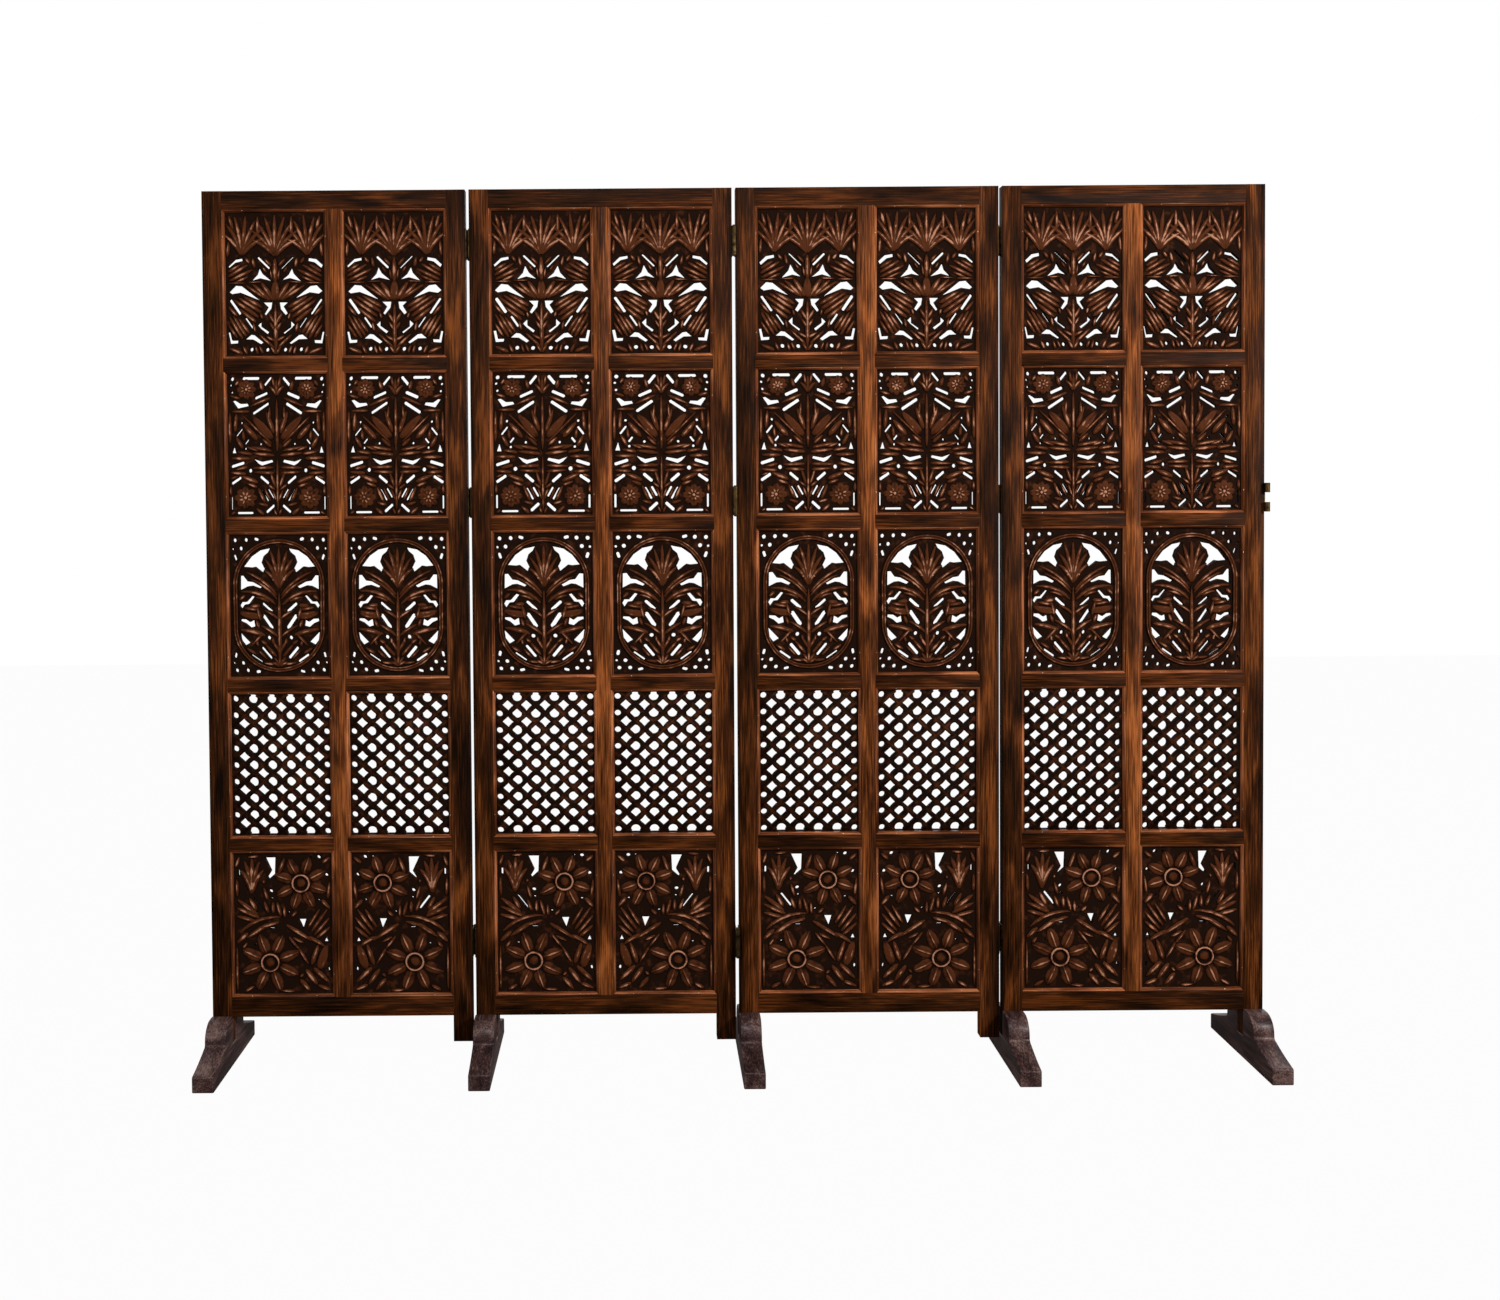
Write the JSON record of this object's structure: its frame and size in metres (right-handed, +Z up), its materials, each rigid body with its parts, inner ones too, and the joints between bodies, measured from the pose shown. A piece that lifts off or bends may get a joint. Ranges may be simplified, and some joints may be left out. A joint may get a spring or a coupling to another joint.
{
  "type": "folding screen",
  "caption": "Folding wooden screen of hinged framed panels with carved, pierced tiles, standing on slotted ogee feet.",
  "frame": {"origin": "on the floor, below the middle of the bounding box", "axes": "+X along the row of panels, +Y to the back, +Z up"},
  "size_m": [2.2196, 0.31, 1.83],
  "materials": {
    "frame_wood": "dark walnut stain, semi-gloss lacquer",
    "bead_wood": "dark walnut stain, worn on the round",
    "carved_wood": "dark brown stain, rubbed ridges",
    "foot_wood": "near-black brown stain, semi-gloss",
    "hinge_brass": "brass oxidised nearly black",
    "screw_brass": "dull brass"
  },
  "bodies": {
    "panel_1": {"panel_1_left_stile": "frame_wood", "panel_1_right_stile": "frame_wood", "panel_1_rails": "frame_wood", "panel_1_mullion": "frame_wood", "panel_1_beads": "bead_wood", "panel_1_tiles_row_1": "carved_wood", "panel_1_tiles_row_2": "carved_wood", "panel_1_tiles_row_3": "carved_wood", "panel_1_tiles_row_4": "carved_wood", "panel_1_tiles_row_5": "carved_wood", "panel_1_hinge_screws": "screw_brass", "hinge_1_left_leaves": "hinge_brass", "hinge_1_pins": "hinge_brass", "foot_1": "foot_wood"},
    "panel_2": {"panel_2_left_stile": "frame_wood", "panel_2_right_stile": "frame_wood", "panel_2_rails": "frame_wood", "panel_2_mullion": "frame_wood", "panel_2_beads": "bead_wood", "panel_2_tiles_row_1": "carved_wood", "panel_2_tiles_row_2": "carved_wood", "panel_2_tiles_row_3": "carved_wood", "panel_2_tiles_row_4": "carved_wood", "panel_2_tiles_row_5": "carved_wood", "panel_2_hinge_screws": "screw_brass", "hinge_1_right_leaves": "hinge_brass", "hinge_2_left_leaves": "hinge_brass", "hinge_2_pins": "hinge_brass", "foot_2": "foot_wood"},
    "panel_3": {"panel_3_left_stile": "frame_wood", "panel_3_right_stile": "frame_wood", "panel_3_rails": "frame_wood", "panel_3_mullion": "frame_wood", "panel_3_beads": "bead_wood", "panel_3_tiles_row_1": "carved_wood", "panel_3_tiles_row_2": "carved_wood", "panel_3_tiles_row_3": "carved_wood", "panel_3_tiles_row_4": "carved_wood", "panel_3_tiles_row_5": "carved_wood", "panel_3_hinge_screws": "screw_brass", "hinge_2_right_leaves": "hinge_brass", "hinge_3_left_leaves": "hinge_brass", "hinge_3_pins": "hinge_brass", "foot_3": "foot_wood"},
    "panel_4": {"panel_4_left_stile": "frame_wood", "panel_4_right_stile": "frame_wood", "panel_4_rails": "frame_wood", "panel_4_mullion": "frame_wood", "panel_4_beads": "bead_wood", "panel_4_tiles_row_1": "carved_wood", "panel_4_tiles_row_2": "carved_wood", "panel_4_tiles_row_3": "carved_wood", "panel_4_tiles_row_4": "carved_wood", "panel_4_tiles_row_5": "carved_wood", "panel_4_hinge_screws": "screw_brass", "hinge_3_right_leaves": "hinge_brass", "panel_4_spare_leaf": "hinge_brass", "foot_4": "foot_wood", "foot_5": "foot_wood"}
  },
  "joints": [
    {"name": "fold_1", "type": "hinge", "parent": "panel_1", "child": "panel_2", "pos_m": [-0.55775, 0.0185, 0.9], "axis": [0, 0, 1], "range_deg": [0, 90]},
    {"name": "fold_2", "type": "hinge", "parent": "panel_2", "child": "panel_3", "pos_m": [-0.00375, -0.0185, 0.9], "axis": [0, 0, -1], "range_deg": [0, 90]},
    {"name": "fold_3", "type": "hinge", "parent": "panel_3", "child": "panel_4", "pos_m": [0.55025, 0.0185, 0.9], "axis": [0, 0, 1], "range_deg": [0, 90]}
  ]
}
